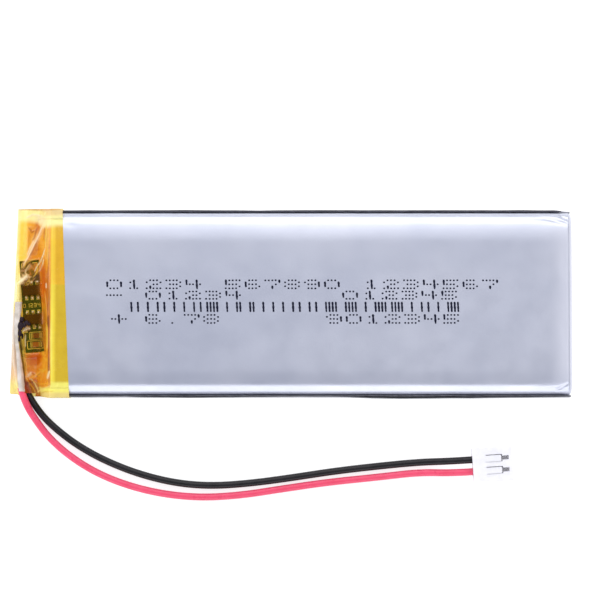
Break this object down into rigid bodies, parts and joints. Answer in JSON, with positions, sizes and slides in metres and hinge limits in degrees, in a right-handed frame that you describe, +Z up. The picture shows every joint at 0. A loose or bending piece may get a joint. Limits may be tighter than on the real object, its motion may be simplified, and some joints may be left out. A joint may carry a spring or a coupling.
{
  "type": "pouch battery cell",
  "caption": "Flat lithium polymer pouch cell with a taped protection board at one end and two thin leads to a small two-way plug.",
  "frame": {"origin": "centre of the cell's box, on the surface that it lies on", "axes": "+X along the cell towards its folded end, away from the tabs; +Y across it, away from the side where the leads come out; +Z up through its thickness, out of the drawn face"},
  "size_m": [0.0939, 0.0485, 0.0051],
  "materials": {
    "pouch_laminate": "satin nylon-faced aluminium laminate",
    "amber_tape": "translucent amber polyimide film",
    "board_green": "green solder resist",
    "chip_black": "moulded epoxy",
    "tin": "bright tin and solder",
    "nickel": "nickel strip",
    "tab_aluminium": "rolled aluminium strip",
    "copper_foil": "graphite coated copper foil",
    "cathode_foil": "oxide coated aluminium foil",
    "separator_film": "porous polyolefin film",
    "sealant_film": "polypropylene sealant",
    "white_strip": "white insulating strip",
    "red_pvc": "red lead insulation",
    "black_pvc": "black lead insulation",
    "white_nylon": "moulded nylon",
    "ceramic_tan": "chip ceramic",
    "winding_tape": "green winding tape"
  },
  "bodies": {
    "root": {"pouch_cup": "pouch_laminate", "pouch_cover": "pouch_laminate", "positive_electrode": "cathode_foil", "negative_electrode": "copper_foil", "separator_inner": "separator_film", "separator_outer": "separator_film", "winding_stop_tape": "winding_tape", "positive_tab": "tab_aluminium", "negative_tab": "nickel", "positive_tab_film": "sealant_film", "negative_tab_film": "sealant_film", "terrace_insulation": "amber_tape", "circuit_board": "board_green", "board_pads": "tin", "mosfet_body": "chip_black", "mosfet_leads": "tin", "protection_ic_body": "chip_black", "protection_ic_leads": "tin", "resistor_body": "chip_black", "resistor_caps": "tin", "capacitor_body": "ceramic_tan", "capacitor_caps": "tin", "positive_link_strip": "nickel", "negative_link_strip": "nickel", "solder_joints": "tin", "lead_cover_strip": "white_strip", "tape_wrap": "amber_tape", "red_lead": "red_pvc", "black_lead": "black_pvc", "red_conductor": "tin", "black_conductor": "tin", "plug_housing": "white_nylon", "positive_contact": "tin", "negative_contact": "tin"}
  },
  "joints": []
}
